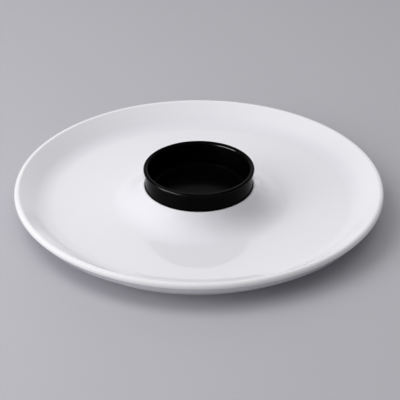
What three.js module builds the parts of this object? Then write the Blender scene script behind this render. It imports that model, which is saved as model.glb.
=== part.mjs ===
// A chip and dip server: a wide white porcelain platter with a raised hub at
// its middle, and a small black stoneware dip bowl that drops into the seat in
// the hub. Both pieces are solids of revolution about the vertical Z axis.
// Millimetres, +Z up, origin on the table at the platter's centre.

import * as THREE from 'three';

// Platter: overall sizes
const PLATTER_RADIUS = 160;
const RIM_TOP = 24.2;
const UNDERSIDE = 3;

// Platter: rolled rim
const RIM_TOP_WIDTH = 4.2;
const RIM_EDGE_FILLET = 3;
const RIM_INNER_FILLET = 1.8;
const RIM_FACE_BOTTOM = 20.3;
const RIM_FACE_FILLET = 2;
const RIM_BEVEL_RADIUS = 153.2;
const RIM_BEVEL_HEIGHT = 11.9;
const RIM_BEVEL_FILLET = 3;

// Platter: gently dished well between the hub and the rim
const WELL_BEND_RADIUS = 136.3;
const WELL_BEND_HEIGHT = 9.95;
const WELL_BEND_FILLET = 29;
const WELL_LOW_RADIUS = 103.4;
const WELL_LOW_HEIGHT = 7.88;
const WELL_LOW_FILLET = 590;

// Platter: flared hub and the seat for the bowl
const HUB_TOP = 25.8;
const HUB_TOP_RADIUS = 48.6;
const HUB_TOP_FILLET = 0.8;
const HUB_FOOT_RADIUS = 59.6;
const HUB_FOOT_HEIGHT = 8.62;
const HUB_FLARE_FILLET = 34;
const SEAT_MOUTH_RADIUS = 47;
const SEAT_FLOOR = 14.3;
const SEAT_FLOOR_RADIUS = 46.2;
const SEAT_FLOOR_FILLET = 6;

// Platter: foot ring and the hollow below the hub
const FOOT_RADIUS = 137.5;
const FOOT_WIDTH = 5;
const FOOT_WALL_TOP = 4.4;
const FOOT_DRAFT = 0.6;
const FOOT_EDGE_FILLET = 0.9;
const FOOT_ROOT_FILLET = 1.2;
const HOLLOW_HEIGHT = 9.2;
const HOLLOW_FLAT_RADIUS = 44;
const HOLLOW_FLAT_FILLET = 6;
const HOLLOW_PEAK_RADIUS = 51.5;
const HOLLOW_PEAK_HEIGHT = 11.3;
const HOLLOW_PEAK_FILLET = 4;
const HOLLOW_MOUTH_RADIUS = 72;
const HOLLOW_MOUTH_FILLET = 14;

// Dip bowl
const SEAT_GAP = 0.3;
const LIP_RADIUS = 48;
const LIP_TOP = 42.5;
const LIP_WIDTH = 3.8;
const LIP_HEIGHT = 3.2;
const LIP_OUTER_FILLET = 1.5;
const LIP_INNER_FILLET = 2.3;
const LIP_FLARE_HEIGHT = 0.8;
const LIP_FLARE_FILLET = 1;
const NECK_RADIUS = 46.2;
const NECK_FILLET = 1.2;
const WALL_RADIUS = 46.6;
const WALL_FILLET = 40;
const WALL_BASE_RADIUS = 45.6;
const WALL_BASE_FILLET = 5;
const WALL_THICKNESS = 3.6;
const BOWL_FOOT_RADIUS = 38;
const BOWL_FOOT_WIDTH = 3;
const BOWL_FOOT_HEIGHT = 1.4;
const BOWL_FOOT_DRAFT = 0.5;
const BOWL_FOOT_EDGE_FILLET = 0.5;
const BOWL_FOOT_ROOT_FILLET = 0.8;
const BOWL_BOTTOM_RISE = 1;
const BOWL_FLOOR_THICKNESS = 4.2;
const BOWL_FLOOR_FILLET = 4;

// Fineness of the faceted surfaces
const TURN_SEGMENTS = 60;
const ARC_TOLERANCE = 0.15;
const COARSEST_ARC_TOLERANCE_PER_RADIUS = 0.5;

/** One corner of an outline, and the radius of the arc that rounds it. */
function corner(radius, height, fillet = 0) {
  return { point: new THREE.Vector2(radius, height), fillet };
}

/** The points of the arc that rounds a corner between its two neighbours. */
function arcPoints(previous, { point, fillet }, next) {
  const back = previous.point.clone().sub(point).normalize();
  const ahead = next.point.clone().sub(point).normalize();
  const halfAngle = Math.acos(back.dot(ahead)) / 2;
  const turn = (Math.PI - 2 * halfAngle) * Math.sign(ahead.cross(back));
  const centre = back.clone().add(ahead).setLength(fillet / Math.sin(halfAngle)).add(point);
  const spoke = back.clone().multiplyScalar(fillet / Math.tan(halfAngle)).add(point).sub(centre);
  const tolerance = Math.min(ARC_TOLERANCE / fillet, COARSEST_ARC_TOLERANCE_PER_RADIUS);
  const largestStep = 2 * Math.acos(1 - tolerance);
  const steps = Math.max(2, Math.ceil(Math.abs(turn) / largestStep));
  const origin = new THREE.Vector2();
  return Array.from({ length: steps + 1 }, (_, step) =>
    spoke.clone().rotateAround(origin, (turn * step) / steps).add(centre),
  );
}

/** Turns a list of corners into outline points, with arcs where fillets are given. */
function roundedOutline(corners) {
  return corners.flatMap((current, index) =>
    current.fillet > 0 ? arcPoints(corners[index - 1], current, corners[index + 1]) : [current.point],
  );
}

/** Turns an outline about +Z. It runs from the axis, under the piece, and back over its top. */
function turned(name, corners, material) {
  const geometry = new THREE.LatheGeometry(roundedOutline(corners), TURN_SEGMENTS);
  geometry.rotateX(Math.PI / 2);
  const mesh = new THREE.Mesh(geometry, material);
  mesh.name = name;
  return mesh;
}

function makePlatter() {
  const footInner = FOOT_RADIUS - FOOT_WIDTH;
  const underside = [
    corner(0, HOLLOW_HEIGHT),
    corner(HOLLOW_FLAT_RADIUS, HOLLOW_HEIGHT, HOLLOW_FLAT_FILLET),
    corner(HOLLOW_PEAK_RADIUS, HOLLOW_PEAK_HEIGHT, HOLLOW_PEAK_FILLET),
    corner(HOLLOW_MOUTH_RADIUS, UNDERSIDE, HOLLOW_MOUTH_FILLET),
    corner(footInner - FOOT_DRAFT, UNDERSIDE, FOOT_ROOT_FILLET),
    corner(footInner, 0, FOOT_EDGE_FILLET),
    corner(FOOT_RADIUS, 0, FOOT_EDGE_FILLET),
    corner(FOOT_RADIUS + FOOT_DRAFT, FOOT_WALL_TOP, FOOT_ROOT_FILLET),
  ];
  const rim = [
    corner(RIM_BEVEL_RADIUS, RIM_BEVEL_HEIGHT, RIM_BEVEL_FILLET),
    corner(PLATTER_RADIUS, RIM_FACE_BOTTOM, RIM_FACE_FILLET),
    corner(PLATTER_RADIUS, RIM_TOP, RIM_EDGE_FILLET),
    corner(PLATTER_RADIUS - RIM_TOP_WIDTH, RIM_TOP, RIM_INNER_FILLET),
  ];
  const well = [
    corner(WELL_BEND_RADIUS, WELL_BEND_HEIGHT, WELL_BEND_FILLET),
    corner(WELL_LOW_RADIUS, WELL_LOW_HEIGHT, WELL_LOW_FILLET),
    corner(HUB_FOOT_RADIUS, HUB_FOOT_HEIGHT, HUB_FLARE_FILLET),
  ];
  const seat = [
    corner(HUB_TOP_RADIUS, HUB_TOP, HUB_TOP_FILLET),
    corner(SEAT_MOUTH_RADIUS, HUB_TOP, HUB_TOP_FILLET),
    corner(SEAT_FLOOR_RADIUS, SEAT_FLOOR, SEAT_FLOOR_FILLET),
    corner(0, SEAT_FLOOR),
  ];
  const porcelain = new THREE.MeshStandardMaterial({ color: 0xe9e8ec, roughness: 0.12, metalness: 0 });
  return turned('platter', [...underside, ...rim, ...well, ...seat], porcelain);
}

function makeDipBowl() {
  const base = SEAT_FLOOR + SEAT_GAP;
  const footTop = base + BOWL_FOOT_HEIGHT;
  const footInner = BOWL_FOOT_RADIUS - BOWL_FOOT_WIDTH;
  const lipBottom = LIP_TOP - LIP_HEIGHT;
  const floor = footTop + BOWL_FLOOR_THICKNESS;
  const outside = [
    corner(0, footTop),
    corner(footInner, footTop, BOWL_FOOT_ROOT_FILLET),
    corner(footInner + BOWL_FOOT_DRAFT, base, BOWL_FOOT_EDGE_FILLET),
    corner(BOWL_FOOT_RADIUS, base, BOWL_FOOT_EDGE_FILLET),
    corner(BOWL_FOOT_RADIUS + BOWL_FOOT_DRAFT, footTop, BOWL_FOOT_ROOT_FILLET),
    corner(WALL_BASE_RADIUS, footTop + BOWL_BOTTOM_RISE, WALL_BASE_FILLET),
    corner(WALL_RADIUS, HUB_TOP, WALL_FILLET),
    corner(NECK_RADIUS, lipBottom, NECK_FILLET),
  ];
  const lip = [
    corner(LIP_RADIUS, lipBottom + LIP_FLARE_HEIGHT, LIP_FLARE_FILLET),
    corner(LIP_RADIUS, LIP_TOP, LIP_OUTER_FILLET),
    corner(LIP_RADIUS - LIP_WIDTH, LIP_TOP, LIP_INNER_FILLET),
  ];
  const inside = [
    corner(WALL_BASE_RADIUS - WALL_THICKNESS, floor, BOWL_FLOOR_FILLET),
    corner(0, floor),
  ];
  const stoneware = new THREE.MeshStandardMaterial({ color: 0x0b0a0b, roughness: 0.25, metalness: 0 });
  return turned('dip_bowl', [...outside, ...lip, ...inside], stoneware);
}

const server = new THREE.Group();
server.add(makePlatter(), makeDipBowl());

export default server;
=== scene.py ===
"""Looks of the chip and dip server: a white glazed platter and a black glazed dip bowl.

Both pieces are finely turned versions of their CAD nodes, with glaze, bare foot rings
and the small unevenness that fired ceramics have. The scene is in metres, in the frame
of the CAD model. Only the corners of the two outlines are in millimetres.
"""

import math

import bpy
import numpy as np
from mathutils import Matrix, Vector, noise


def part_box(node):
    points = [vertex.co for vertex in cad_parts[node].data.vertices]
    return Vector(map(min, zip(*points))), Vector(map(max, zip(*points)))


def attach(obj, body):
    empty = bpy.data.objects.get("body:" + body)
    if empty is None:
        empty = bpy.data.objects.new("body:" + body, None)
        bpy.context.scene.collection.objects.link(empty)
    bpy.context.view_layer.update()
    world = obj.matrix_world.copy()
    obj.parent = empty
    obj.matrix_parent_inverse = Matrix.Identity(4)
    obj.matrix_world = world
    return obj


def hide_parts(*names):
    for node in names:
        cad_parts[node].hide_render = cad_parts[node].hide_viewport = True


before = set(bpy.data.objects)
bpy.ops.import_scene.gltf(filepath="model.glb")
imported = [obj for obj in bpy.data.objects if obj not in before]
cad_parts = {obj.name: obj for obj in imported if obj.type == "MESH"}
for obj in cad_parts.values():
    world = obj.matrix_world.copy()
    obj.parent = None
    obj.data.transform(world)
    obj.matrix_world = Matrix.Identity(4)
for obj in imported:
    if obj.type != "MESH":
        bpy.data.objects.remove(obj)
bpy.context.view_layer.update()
PLATTER_LOW, PLATTER_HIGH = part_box("platter")
BOWL_LOW, BOWL_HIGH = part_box("dip_bowl")

MM = 0.001
TAU = 2 * math.pi


def millimetres(metres):
    """A length of the CAD model in millimetres, to the nearest micrometre."""
    return round(metres / MM, 3)


# ---------------------------------------------------------------- sizes in millimetres

# Platter: overall
PLATTER_RADIUS = millimetres(PLATTER_HIGH.x)
PLATTER_BASE = millimetres(PLATTER_LOW.z)
UNDERSIDE = 3

# Platter: foot ring and the hollow below the hub
FOOT_RADIUS = 137.5
FOOT_WIDTH = 5
FOOT_WALL_TOP = 4.4
FOOT_DRAFT = 0.6
FOOT_EDGE_FILLET = 0.9
FOOT_ROOT_FILLET = 1.2
HOLLOW_HEIGHT = 9.2
HOLLOW_FLAT_RADIUS = 44
HOLLOW_FLAT_FILLET = 6
HOLLOW_PEAK_RADIUS = 51.5
HOLLOW_PEAK_HEIGHT = 11.3
HOLLOW_PEAK_FILLET = 4
HOLLOW_MOUTH_RADIUS = 72
HOLLOW_MOUTH_FILLET = 14

# Platter: rolled rim
RIM_BEVEL_RADIUS = 153.2
RIM_BEVEL_HEIGHT = 11.9
RIM_BEVEL_FILLET = 3
RIM_FACE_BOTTOM = 20.3
RIM_FACE_FILLET = 2
RIM_TOP = 24.2
RIM_TOP_WIDTH = 4.2
RIM_EDGE_FILLET = 3
RIM_INNER_FILLET = 1.8

# Platter: dished well
WELL_BEND_RADIUS = 136.3
WELL_BEND_HEIGHT = 9.95
WELL_BEND_FILLET = 29
WELL_LOW_RADIUS = 103.4
WELL_LOW_HEIGHT = 7.88
WELL_LOW_FILLET = 590

# Dip bowl: overall and foot ring
BOWL_BASE = millimetres(BOWL_LOW.z)
BOWL_FOOT_RADIUS = 38
BOWL_FOOT_WIDTH = 3
BOWL_FOOT_HEIGHT = 1.4
BOWL_FOOT_DRAFT = 0.5
BOWL_FOOT_EDGE_FILLET = 0.5
BOWL_FOOT_ROOT_FILLET = 0.8

# Platter: flared hub, and the seat that holds the bowl
HUB_TOP = millimetres(PLATTER_HIGH.z)
HUB_TOP_RADIUS = 48.6
HUB_TOP_FILLET = 0.8
HUB_FOOT_RADIUS = 59.6
HUB_FOOT_HEIGHT = 8.62
HUB_FLARE_FILLET = 34
SEAT_GAP = 0.3
SEAT_MOUTH_RADIUS = 47
SEAT_FLOOR = BOWL_BASE - SEAT_GAP
SEAT_FLOOR_RADIUS = 46.2
SEAT_FLOOR_FILLET = 6

# Dip bowl: wall, lip and inside
BOWL_BOTTOM_RISE = 1
WALL_BASE_RADIUS = 45.6
WALL_BASE_FILLET = 5
WALL_RADIUS = 46.6
WALL_FILLET = 40
WALL_THICKNESS = 3.6
NECK_RADIUS = 46.2
NECK_FILLET = 1.2
LIP_RADIUS = millimetres(BOWL_HIGH.x)
LIP_TOP = millimetres(BOWL_HIGH.z)
LIP_WIDTH = 3.8
LIP_HEIGHT = 3.2
LIP_FLARE_HEIGHT = 0.8
LIP_FLARE_FILLET = 1
LIP_OUTER_FILLET = 1.5
LIP_INNER_FILLET = 2.3
BOWL_FLOOR_THICKNESS = 4.2
BOWL_FLOOR_FILLET = 4


# ---------------------------------------------------------------- meshes

# Fineness of the turned meshes
PLATTER_SEGMENTS = 288
BOWL_SEGMENTS = 216
ARC_STEP = math.radians(5)
LEAST_ARC_STEPS = 3
LONGEST_EDGE = 2.6 * MM

# Unevenness of fired clay: how deep it is, the size of its waves, and which waves they are
WARP_DEPTH = 0.05 * MM
PLATTER_WARP_SIZE = 0.09
PLATTER_WARP_SEED = 3.0
BOWL_WARP_SIZE = 0.04
BOWL_WARP_SEED = 11.0
# Inside this radius it fades out towards the axis, and it varies faster with height
WARP_CORE = 0.02
WARP_HEIGHT_STRETCH = 2

# Zones of an outline, which are also the material slots of its mesh
GLAZE = 0
BARE = 1

# The least that a curvature's length or area is taken to be, because it is divided by
TINY_LENGTH = 1e-9
TINY_AREA = 1e-12


# ---------------------------------------------------------------- colours and finishes

PORCELAIN = (0.834, 0.825, 0.865, 1)
PORCELAIN_POOLED = (0.80, 0.797, 0.848, 1)
PORCELAIN_THIN = (0.852, 0.842, 0.866, 1)
BISQUE = (0.74, 0.715, 0.675, 1)
BISQUE_STAINED = (0.56, 0.52, 0.47, 1)
IRON_SPECK = (0.34, 0.31, 0.28, 1)
BLACK = (0.0009, 0.0006, 0.0008, 1)
BLACK_THIN = (0.0045, 0.0032, 0.0034, 1)
BLACK_CLAY = (0.032, 0.027, 0.025, 1)
BLACK_CLAY_WORN = (0.075, 0.064, 0.058, 1)
FLOOR_PAPER = (0.47, 0.465, 0.50, 1)
DAYLIGHT = (1, 1, 1, 1)

# Roughness, from the smoothest to the roughest place
WHITE_GLAZE_ROUGHNESS = (0.3, 0.36)
BISQUE_ROUGHNESS = (0.62, 0.82)
BLACK_GLAZE_ROUGHNESS = (0.16, 0.23)
BLACK_CLAY_ROUGHNESS = (0.6, 0.85)

# Curvature, in 1/m, from where a glaze starts to pool or thin to where it fully does
WHITE_POOLS = (0.0, -60.0)
WHITE_THINS = (60.0, 420.0)
BLACK_THINS = (250.0, 700.0)

# Noise: the part of its range that is stretched to the full range, and how strong its
# finer waves are
NOISE_SPAN = (0.3, 0.7)
NOISE_ROUGHNESS = 0.55

# Part of a dot's size that has its full colour
DOT_CORE = 0.5

# Sockets of a Mix node for colours
MIX_SHARE, MIX_A, MIX_B, MIX_RESULT = 0, 6, 7, 2


# ---------------------------------------------------------------- light and camera

FLOOR_HALF = 6.0

# The room: an even light, and soft bright patches as azimuth, elevation and strength
EVEN_LIGHT = 0.19
GLOW_NARROWNESS = 7.0
GLOWS = [(80, 12, 0.66), (45, 12, 0.3), (120, 15, 0.34), (270, 12, 0.26), (210, 20, 0.5)]

# Softboxes: azimuth and elevation in degrees, distance and size in metres, and watts
SOFTBOXES = {
    "top_key": (0, 80, 2.2, (1.9, 1.9), 10.0),
    "side_key": (165, 56, 1.3, (0.78, 0.91), 6.6),
    "low_key": (210, 28, 1.3, (0.78, 0.91), 7.0),
}
SPARKLE = (209, 9, 2.2, (1.7, 0.45), 500)

# Camera: distance and elevation, the length of its lens, and its sensor's width and shift
CAMERA_DISTANCE = 1.92
CAMERA_ELEVATION = math.radians(30.76)
CAMERA_LENS = 198.09
CAMERA_SENSOR = 36.0
CAMERA_SHIFT = (0.00275, 0.02375)


# ---------------------------------------------------------------- outlines


def corner(radius, height, fillet=0.0, zone=GLAZE):
    """One corner of an outline in millimetres; zone is the finish from here to the next one."""
    return {"at": np.array((radius, height)) * MM, "fillet": fillet * MM, "zone": zone}


def unit(vector):
    return vector / np.linalg.norm(vector)


def arc(before, here, after):
    """Points of the arc that rounds a corner between its two neighbours."""
    back = unit(before["at"] - here["at"])
    ahead = unit(after["at"] - here["at"])
    half = math.acos(float(np.clip(back @ ahead, -1, 1))) / 2
    centre = here["at"] + unit(back + ahead) * here["fillet"] / math.sin(half)
    reach = here["fillet"] / math.tan(half)
    first = here["at"] + back * reach - centre
    last = here["at"] + ahead * reach - centre
    start = math.atan2(first[1], first[0])
    turn = (math.atan2(last[1], last[0]) - start + math.pi) % TAU - math.pi
    by_angle = abs(turn) / ARC_STEP
    by_length = abs(turn) * here["fillet"] / LONGEST_EDGE
    steps = max(LEAST_ARC_STEPS, math.ceil(max(by_angle, by_length)))
    angles = start + turn * np.arange(steps + 1) / steps
    return centre + here["fillet"] * np.stack([np.cos(angles), np.sin(angles)], axis=1)


def outline(corners):
    """Points of the rounded outline, none of them far apart, and the zone after each."""
    points, zones = [], []
    for i, here in enumerate(corners):
        rounded = here["fillet"] > 0
        new = arc(corners[i - 1], here, corners[i + 1]) if rounded else [here["at"]]
        if points:
            gap = np.linalg.norm(new[0] - points[-1])
            extra = max(0, math.ceil(gap / LONGEST_EDGE) - 1)
            for parts_left in range(extra + 1, 1, -1):
                points.append(points[-1] + (new[0] - points[-1]) / parts_left)
                zones.append(zones[-1])
        points.extend(new)
        zones.extend([here["zone"]] * len(new))
    return np.array(points), zones


def turning(points):
    """Signed curvature of the outline at each point, in 1/m: positive on outward edges."""
    ahead = np.roll(points, -1, axis=0) - points
    back = points - np.roll(points, 1, axis=0)
    cross = back[:, 0] * ahead[:, 1] - back[:, 1] * ahead[:, 0]
    ahead_length = np.linalg.norm(ahead, axis=1)
    back_length = np.linalg.norm(back, axis=1)
    sine = np.clip(cross / np.maximum(ahead_length * back_length, TINY_AREA), -1, 1)
    bend = np.arcsin(sine) / np.maximum((ahead_length + back_length) / 2, TINY_LENGTH)
    bend[0] = bend[-1] = 0
    return bend


def platter_corners():
    """From the axis, under the platter, up its rim, and back over well, hub and seat."""
    foot_inner = FOOT_RADIUS - FOOT_WIDTH
    return [
        corner(0, HOLLOW_HEIGHT),
        corner(HOLLOW_FLAT_RADIUS, HOLLOW_HEIGHT, HOLLOW_FLAT_FILLET),
        corner(HOLLOW_PEAK_RADIUS, HOLLOW_PEAK_HEIGHT, HOLLOW_PEAK_FILLET),
        corner(HOLLOW_MOUTH_RADIUS, UNDERSIDE, HOLLOW_MOUTH_FILLET),
        corner(foot_inner - FOOT_DRAFT, UNDERSIDE, FOOT_ROOT_FILLET),
        corner(foot_inner, PLATTER_BASE, FOOT_EDGE_FILLET, BARE),
        corner(FOOT_RADIUS, PLATTER_BASE, FOOT_EDGE_FILLET),
        corner(FOOT_RADIUS + FOOT_DRAFT, FOOT_WALL_TOP, FOOT_ROOT_FILLET),
        corner(RIM_BEVEL_RADIUS, RIM_BEVEL_HEIGHT, RIM_BEVEL_FILLET),
        corner(PLATTER_RADIUS, RIM_FACE_BOTTOM, RIM_FACE_FILLET),
        corner(PLATTER_RADIUS, RIM_TOP, RIM_EDGE_FILLET),
        corner(PLATTER_RADIUS - RIM_TOP_WIDTH, RIM_TOP, RIM_INNER_FILLET),
        corner(WELL_BEND_RADIUS, WELL_BEND_HEIGHT, WELL_BEND_FILLET),
        corner(WELL_LOW_RADIUS, WELL_LOW_HEIGHT, WELL_LOW_FILLET),
        corner(HUB_FOOT_RADIUS, HUB_FOOT_HEIGHT, HUB_FLARE_FILLET),
        corner(HUB_TOP_RADIUS, HUB_TOP, HUB_TOP_FILLET),
        corner(SEAT_MOUTH_RADIUS, HUB_TOP, HUB_TOP_FILLET),
        corner(SEAT_FLOOR_RADIUS, SEAT_FLOOR, SEAT_FLOOR_FILLET),
        corner(0, SEAT_FLOOR),
    ]


def bowl_corners():
    """From the axis, under the bowl, up its wall, over the lip and down inside."""
    foot_inner = BOWL_FOOT_RADIUS - BOWL_FOOT_WIDTH
    foot_top = BOWL_BASE + BOWL_FOOT_HEIGHT
    lip_bottom = LIP_TOP - LIP_HEIGHT
    floor = foot_top + BOWL_FLOOR_THICKNESS
    return [
        corner(0, foot_top),
        corner(foot_inner, foot_top, BOWL_FOOT_ROOT_FILLET),
        corner(foot_inner + BOWL_FOOT_DRAFT, BOWL_BASE, BOWL_FOOT_EDGE_FILLET, BARE),
        corner(BOWL_FOOT_RADIUS, BOWL_BASE, BOWL_FOOT_EDGE_FILLET),
        corner(BOWL_FOOT_RADIUS + BOWL_FOOT_DRAFT, foot_top, BOWL_FOOT_ROOT_FILLET),
        corner(WALL_BASE_RADIUS, foot_top + BOWL_BOTTOM_RISE, WALL_BASE_FILLET),
        corner(WALL_RADIUS, HUB_TOP, WALL_FILLET),
        corner(NECK_RADIUS, lip_bottom, NECK_FILLET),
        corner(LIP_RADIUS, lip_bottom + LIP_FLARE_HEIGHT, LIP_FLARE_FILLET),
        corner(LIP_RADIUS, LIP_TOP, LIP_OUTER_FILLET),
        corner(LIP_RADIUS - LIP_WIDTH, LIP_TOP, LIP_INNER_FILLET),
        corner(WALL_BASE_RADIUS - WALL_THICKNESS, floor, BOWL_FLOOR_FILLET),
        corner(0, floor),
    ]


# ---------------------------------------------------------------- turned meshes


def unevenness(point, size, seed):
    """How far fired clay strays from the true shape at a point, from 0 to 1."""
    return 0.5 + 0.5 * noise.noise(Vector(point) / size + Vector((seed, seed, seed)))


def turned_points(points, segments, warp_size, warp_seed):
    """The outline turned about +Z, a little uneven, and the outline's curvature at each point."""
    angles = TAU * np.arange(segments) / segments
    inner = slice(1, len(points) - 1)
    verts = [(0.0, 0.0, points[0][1])]
    curvatures = [0.0]
    for (radius, height), curvature in zip(points[inner], turning(points)[inner]):
        for angle in angles:
            x, y = radius * math.cos(angle), radius * math.sin(angle)
            place = (x, y, height * WARP_HEIGHT_STRETCH)
            stray = unevenness(place, warp_size, warp_seed) * WARP_DEPTH
            shrink = 1 - stray / max(radius, WARP_CORE)
            verts.append((x * shrink, y * shrink, height))
            curvatures.append(curvature)
    verts.append((0.0, 0.0, points[-1][1]))
    curvatures.append(0.0)
    return verts, curvatures


def turned_faces(rings, segments, zones):
    """Faces between neighbouring rings and at the two ends on the axis, and each one's zone."""
    faces, face_zones = [], []
    top = 1 + rings * segments
    for ring in range(rings + 1):
        high = 1 + ring * segments
        low = high - segments
        for s in range(segments):
            t = (s + 1) % segments
            if ring == 0:
                faces.append((0, high + t, high + s))
            elif ring == rings:
                faces.append((low + s, low + t, top))
            else:
                faces.append((low + s, low + t, high + t, high + s))
            face_zones.append(zones[ring])
    return faces, face_zones


def turned(name, corners, segments, materials, warp_size, warp_seed):
    """A closed piece turned about +Z, with an attribute for its edges and hollows."""
    points, zones = outline(corners)
    verts, curvatures = turned_points(points, segments, warp_size, warp_seed)
    faces, face_zones = turned_faces(len(points) - 2, segments, zones)
    mesh = bpy.data.meshes.new(name)
    mesh.from_pydata(verts, [], faces)
    for material in materials:
        mesh.materials.append(material)
    mesh.polygons.foreach_set("material_index", face_zones)
    mesh.polygons.foreach_set("use_smooth", [True] * len(faces))
    attribute = mesh.attributes.new("turning", "FLOAT", "POINT")
    attribute.data.foreach_set("value", np.array(curvatures, np.float32))
    mesh.validate()
    mesh.update()
    return placed(name, mesh)


def placed(name, data):
    """A new object in the scene for a mesh, light or camera."""
    item = bpy.data.objects.new(name, data)
    bpy.context.scene.collection.objects.link(item)
    return item


# ---------------------------------------------------------------- node helpers


def new_material(name):
    material = bpy.data.materials.new(name)
    material.use_nodes = True
    tree = material.node_tree
    return material, tree, tree.nodes["Principled BSDF"]


def set_inputs(node, values):
    """Sets values on a node's own sockets, by name or number."""
    for key, value in values.items():
        node.inputs[key].default_value = value


def add(tree, kind, values=None, **settings):
    """Adds a node, with socket values by name or number and plain settings."""
    node = tree.nodes.new(kind)
    for key, value in settings.items():
        setattr(node, key, value)
    set_inputs(node, values or {})
    return node


def link(tree, source, target):
    tree.links.new(source, target)


def put(tree, item, socket):
    """Links a socket to another one, or sets it to a plain value."""
    if isinstance(item, bpy.types.NodeSocket):
        link(tree, item, socket)
    else:
        socket.default_value = item


def object_space(tree):
    return add(tree, "ShaderNodeTexCoord").outputs["Object"]


def noise_of(tree, place, scale, detail=3.0):
    """Smooth noise from 0 to 1, with about scale waves in a metre."""
    values = {"Scale": scale, "Detail": detail, "Roughness": NOISE_ROUGHNESS}
    node = add(tree, "ShaderNodeTexNoise", values)
    link(tree, place, node.inputs["Vector"])
    return node.outputs["Fac"]


def between(tree, value, span, result=(0.0, 1.0)):
    """Maps a value smoothly from span to result, and no further."""
    values = {"From Min": span[0], "From Max": span[1], "To Min": result[0], "To Max": result[1]}
    node = add(tree, "ShaderNodeMapRange", values, interpolation_type="SMOOTHSTEP")
    link(tree, value, node.inputs["Value"])
    return node.outputs["Result"]


def math_of(tree, operation, a, b):
    """The result of a Math node; a and b are each a number or a socket."""
    node = add(tree, "ShaderNodeMath", operation=operation)
    for socket, item in zip(node.inputs, (a, b)):
        put(tree, item, socket)
    return node.outputs[0]


def mixed(tree, share, a, b):
    """A colour between a and b; each is a colour or a socket."""
    node = add(tree, "ShaderNodeMix", data_type="RGBA")
    for number, item in ((MIX_SHARE, share), (MIX_A, a), (MIX_B, b)):
        put(tree, item, node.inputs[number])
    return node.outputs[MIX_RESULT]


def specks(tree, place, cells, size, share):
    """Sparse round dots, 1 on a dot: cells in a metre, a dot's part of its cell, cells with one."""
    cell = add(tree, "ShaderNodeTexVoronoi", {"Scale": cells})
    link(tree, place, cell.inputs["Vector"])
    separate = add(tree, "ShaderNodeSeparateColor")
    link(tree, cell.outputs["Color"], separate.inputs[0])
    chosen = math_of(tree, "LESS_THAN", separate.outputs[0], share)
    dot = between(tree, cell.outputs["Distance"], (size, size * DOT_CORE))
    return math_of(tree, "MULTIPLY", chosen, dot)


def bump(tree, height, distance, strength, below=None):
    """A normal for a height of up to distance metres, over another normal if there is one."""
    node = add(tree, "ShaderNodeBump", {"Strength": strength, "Distance": distance})
    link(tree, height, node.inputs["Height"])
    if below is not None:
        link(tree, below, node.inputs["Normal"])
    return node.outputs["Normal"]


def curvature_of(tree):
    return add(tree, "ShaderNodeAttribute", attribute_name="turning").outputs["Fac"]


# ---------------------------------------------------------------- materials


def white_glaze():
    """Clear gloss glaze over white porcelain: cooler where it pools, lighter over edges."""
    material, tree, shader = new_material("white_glaze")
    place = object_space(tree)
    curvature = curvature_of(tree)
    pooled = between(tree, curvature, WHITE_POOLS)
    thin = between(tree, curvature, WHITE_THINS)
    cloud = noise_of(tree, place, scale=14.0)
    cooler = between(tree, cloud, span=(0.35, 0.7), result=(0.0, 0.1))
    base = mixed(tree, cooler, PORCELAIN, PORCELAIN_POOLED)
    base = mixed(tree, pooled, base, PORCELAIN_POOLED)
    base = mixed(tree, thin, base, PORCELAIN_THIN)
    dots = specks(tree, place, cells=110.0, size=0.03, share=0.05)
    link(tree, mixed(tree, dots, base, IRON_SPECK), shader.inputs["Base Color"])
    streak = noise_of(tree, place, scale=25.0)
    roughness = between(tree, streak, NOISE_SPAN, WHITE_GLAZE_ROUGHNESS)
    link(tree, roughness, shader.inputs["Roughness"])
    wave = noise_of(tree, place, scale=45.0, detail=1.0)
    skin = bump(tree, wave, distance=0.04 * MM, strength=0.15)
    link(tree, skin, shader.inputs["Coat Normal"])
    set_inputs(shader, {
        "IOR": 1.5,
        "Specular IOR Level": 0.2,
        "Coat Weight": 1.0,
        "Coat Roughness": 0.03,
        "Coat IOR": 1.5,
    })
    return material


def bisque():
    """Bare ground porcelain of the foot ring: matt, gritty and faintly stained."""
    material, tree, shader = new_material("bare_porcelain")
    place = object_space(tree)
    cloud = noise_of(tree, place, scale=70.0, detail=5.0)
    stain = between(tree, cloud, span=(0.5, 0.75), result=(0.0, 0.6))
    dots = specks(tree, place, cells=420.0, size=0.18, share=0.12)
    base = mixed(tree, stain, BISQUE, BISQUE_STAINED)
    link(tree, mixed(tree, dots, base, IRON_SPECK), shader.inputs["Base Color"])
    grain = noise_of(tree, place, scale=2600.0)
    roughness = between(tree, grain, NOISE_SPAN, BISQUE_ROUGHNESS)
    link(tree, roughness, shader.inputs["Roughness"])
    grit = bump(tree, grain, distance=0.08 * MM, strength=0.7)
    link(tree, grit, shader.inputs["Normal"])
    set_inputs(shader, {"Specular IOR Level": 0.3})
    return material


def black_glaze():
    """Deep black satin gloss glaze: a faint ripple, and browner where it thins on edges."""
    material, tree, shader = new_material("black_glaze")
    place = object_space(tree)
    edge = between(tree, curvature_of(tree), BLACK_THINS)
    breaking = between(tree, noise_of(tree, place, scale=160.0, detail=4.0), NOISE_SPAN)
    thin = math_of(tree, "MULTIPLY", edge, breaking)
    link(tree, mixed(tree, thin, BLACK, BLACK_THIN), shader.inputs["Base Color"])
    mottle = noise_of(tree, place, scale=240.0)
    roughness = between(tree, mottle, NOISE_SPAN, BLACK_GLAZE_ROUGHNESS)
    link(tree, roughness, shader.inputs["Roughness"])
    fine = noise_of(tree, place, scale=420.0, detail=2.0)
    broad = noise_of(tree, place, scale=90.0, detail=1.0)
    ripple = bump(tree, fine, distance=0.03 * MM, strength=0.5)
    ripple = bump(tree, broad, distance=0.08 * MM, strength=0.4, below=ripple)
    link(tree, ripple, shader.inputs["Normal"])
    set_inputs(shader, {"IOR": 1.45, "Specular IOR Level": 0.035})
    return material


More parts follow.
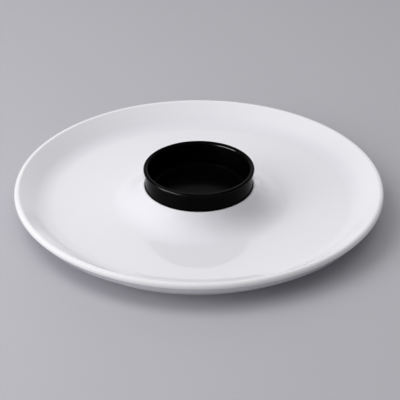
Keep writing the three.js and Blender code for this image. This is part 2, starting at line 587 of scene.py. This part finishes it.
def black_clay():
    """Bare dark stoneware of the bowl's foot ring, rubbed paler in patches."""
    material, tree, shader = new_material("bare_stoneware")
    place = object_space(tree)
    grain = noise_of(tree, place, scale=1500.0, detail=4.0)
    rubbed = between(tree, noise_of(tree, place, scale=130.0), span=(0.4, 0.7))
    link(tree, mixed(tree, rubbed, BLACK_CLAY, BLACK_CLAY_WORN), shader.inputs["Base Color"])
    roughness = between(tree, grain, NOISE_SPAN, BLACK_CLAY_ROUGHNESS)
    link(tree, roughness, shader.inputs["Roughness"])
    grit = bump(tree, grain, distance=0.1 * MM, strength=0.8)
    link(tree, grit, shader.inputs["Normal"])
    return material


def floor_paper():
    """Plain pale matt floor."""
    material, _, shader = new_material("floor_paper")
    set_inputs(shader, {"Base Color": FLOOR_PAPER, "Roughness": 0.55, "Specular IOR Level": 0.2})
    return material


# ---------------------------------------------------------------- the two pieces


def make_platter():
    piece = turned(
        "platter_porcelain", platter_corners(), PLATTER_SEGMENTS,
        [white_glaze(), bisque()], PLATTER_WARP_SIZE, PLATTER_WARP_SEED,
    )
    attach(piece, "platter")
    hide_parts("platter")


def make_bowl():
    piece = turned(
        "dip_bowl_stoneware", bowl_corners(), BOWL_SEGMENTS,
        [black_glaze(), black_clay()], BOWL_WARP_SIZE, BOWL_WARP_SEED,
    )
    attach(piece, "dip_bowl")
    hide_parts("dip_bowl")
    return piece


# ---------------------------------------------------------------- floor, light, camera


def make_floor():
    half = FLOOR_HALF
    z = PLATTER_LOW.z
    corners = [(-half, -half, z), (half, -half, z), (half, half, z), (-half, half, z)]
    mesh = bpy.data.meshes.new("floor")
    mesh.from_pydata(corners, [], [(0, 1, 2, 3)])
    mesh.materials.append(floor_paper())
    floor = placed("floor", mesh)


def towards(azimuth, elevation):
    """The direction of an azimuth and elevation in degrees. Azimuth 0 is +X and 90 is +Y."""
    a, e = math.radians(azimuth), math.radians(elevation)
    return Vector((math.cos(a) * math.cos(e), math.sin(a) * math.cos(e), math.sin(e)))


def softbox(name, azimuth, elevation, distance, size, watts):
    """An area light that faces the object and isn't itself mirrored in it."""
    light = bpy.data.lights.new(name, "AREA")
    light.shape = "RECTANGLE"
    light.size, light.size_y = size
    light.energy = watts
    lamp = placed(name, light)
    away = towards(azimuth, elevation)
    lamp.location = away * distance
    lamp.rotation_euler = (-away).to_track_quat("-Z", "Y").to_euler()
    lamp.visible_glossy = False
    return lamp


def sparkle(piece):
    """A softbox seen only as a highlight, and only in one piece."""
    lamp = softbox("sparkle", *SPARKLE)
    lamp.visible_glossy = True
    lamp.visible_diffuse = False
    receivers = bpy.data.collections.new("sparkle_receivers")
    receivers.objects.link(piece)
    lamp.light_linking.receiver_collection = receivers


def glow(tree, place, azimuth, elevation, strength):
    """A soft bright patch of the room round a direction."""
    facing = add(tree, "ShaderNodeVectorMath", operation="DOT_PRODUCT")
    facing.inputs[1].default_value = towards(azimuth, elevation)
    link(tree, place, facing.inputs[0])
    ahead = math_of(tree, "MAXIMUM", facing.outputs["Value"], 0.0)
    return math_of(tree, "MULTIPLY", math_of(tree, "POWER", ahead, GLOW_NARROWNESS), strength)


def make_room():
    """The world: an even light with soft bright patches, which the glazes mirror."""
    world = bpy.data.worlds.new("studio")
    bpy.context.scene.world = world
    world.use_nodes = True
    tree = world.node_tree
    place = add(tree, "ShaderNodeTexCoord").outputs["Generated"]
    light = EVEN_LIGHT
    for azimuth, elevation, strength in GLOWS:
        light = math_of(tree, "ADD", glow(tree, place, azimuth, elevation, strength), light)
    background = tree.nodes["Background"]
    link(tree, light, background.inputs["Strength"])
    background.inputs["Color"].default_value = DAYLIGHT


def make_camera():
    data = bpy.data.cameras.new("camera")
    data.sensor_width = CAMERA_SENSOR
    data.lens = CAMERA_LENS
    data.shift_x, data.shift_y = CAMERA_SHIFT
    camera = placed("camera", data)
    back = CAMERA_DISTANCE * math.cos(CAMERA_ELEVATION)
    camera.location = (0, -back, CAMERA_DISTANCE * math.sin(CAMERA_ELEVATION))
    camera.rotation_euler = (math.pi / 2 - CAMERA_ELEVATION, 0, 0)
    bpy.context.scene.camera = camera


make_platter()
dip_bowl = make_bowl()
make_floor()
make_room()
for box_name, box_settings in SOFTBOXES.items():
    softbox(box_name, *box_settings)
sparkle(dip_bowl)
make_camera()
bpy.context.scene.view_settings.view_transform = "Standard"
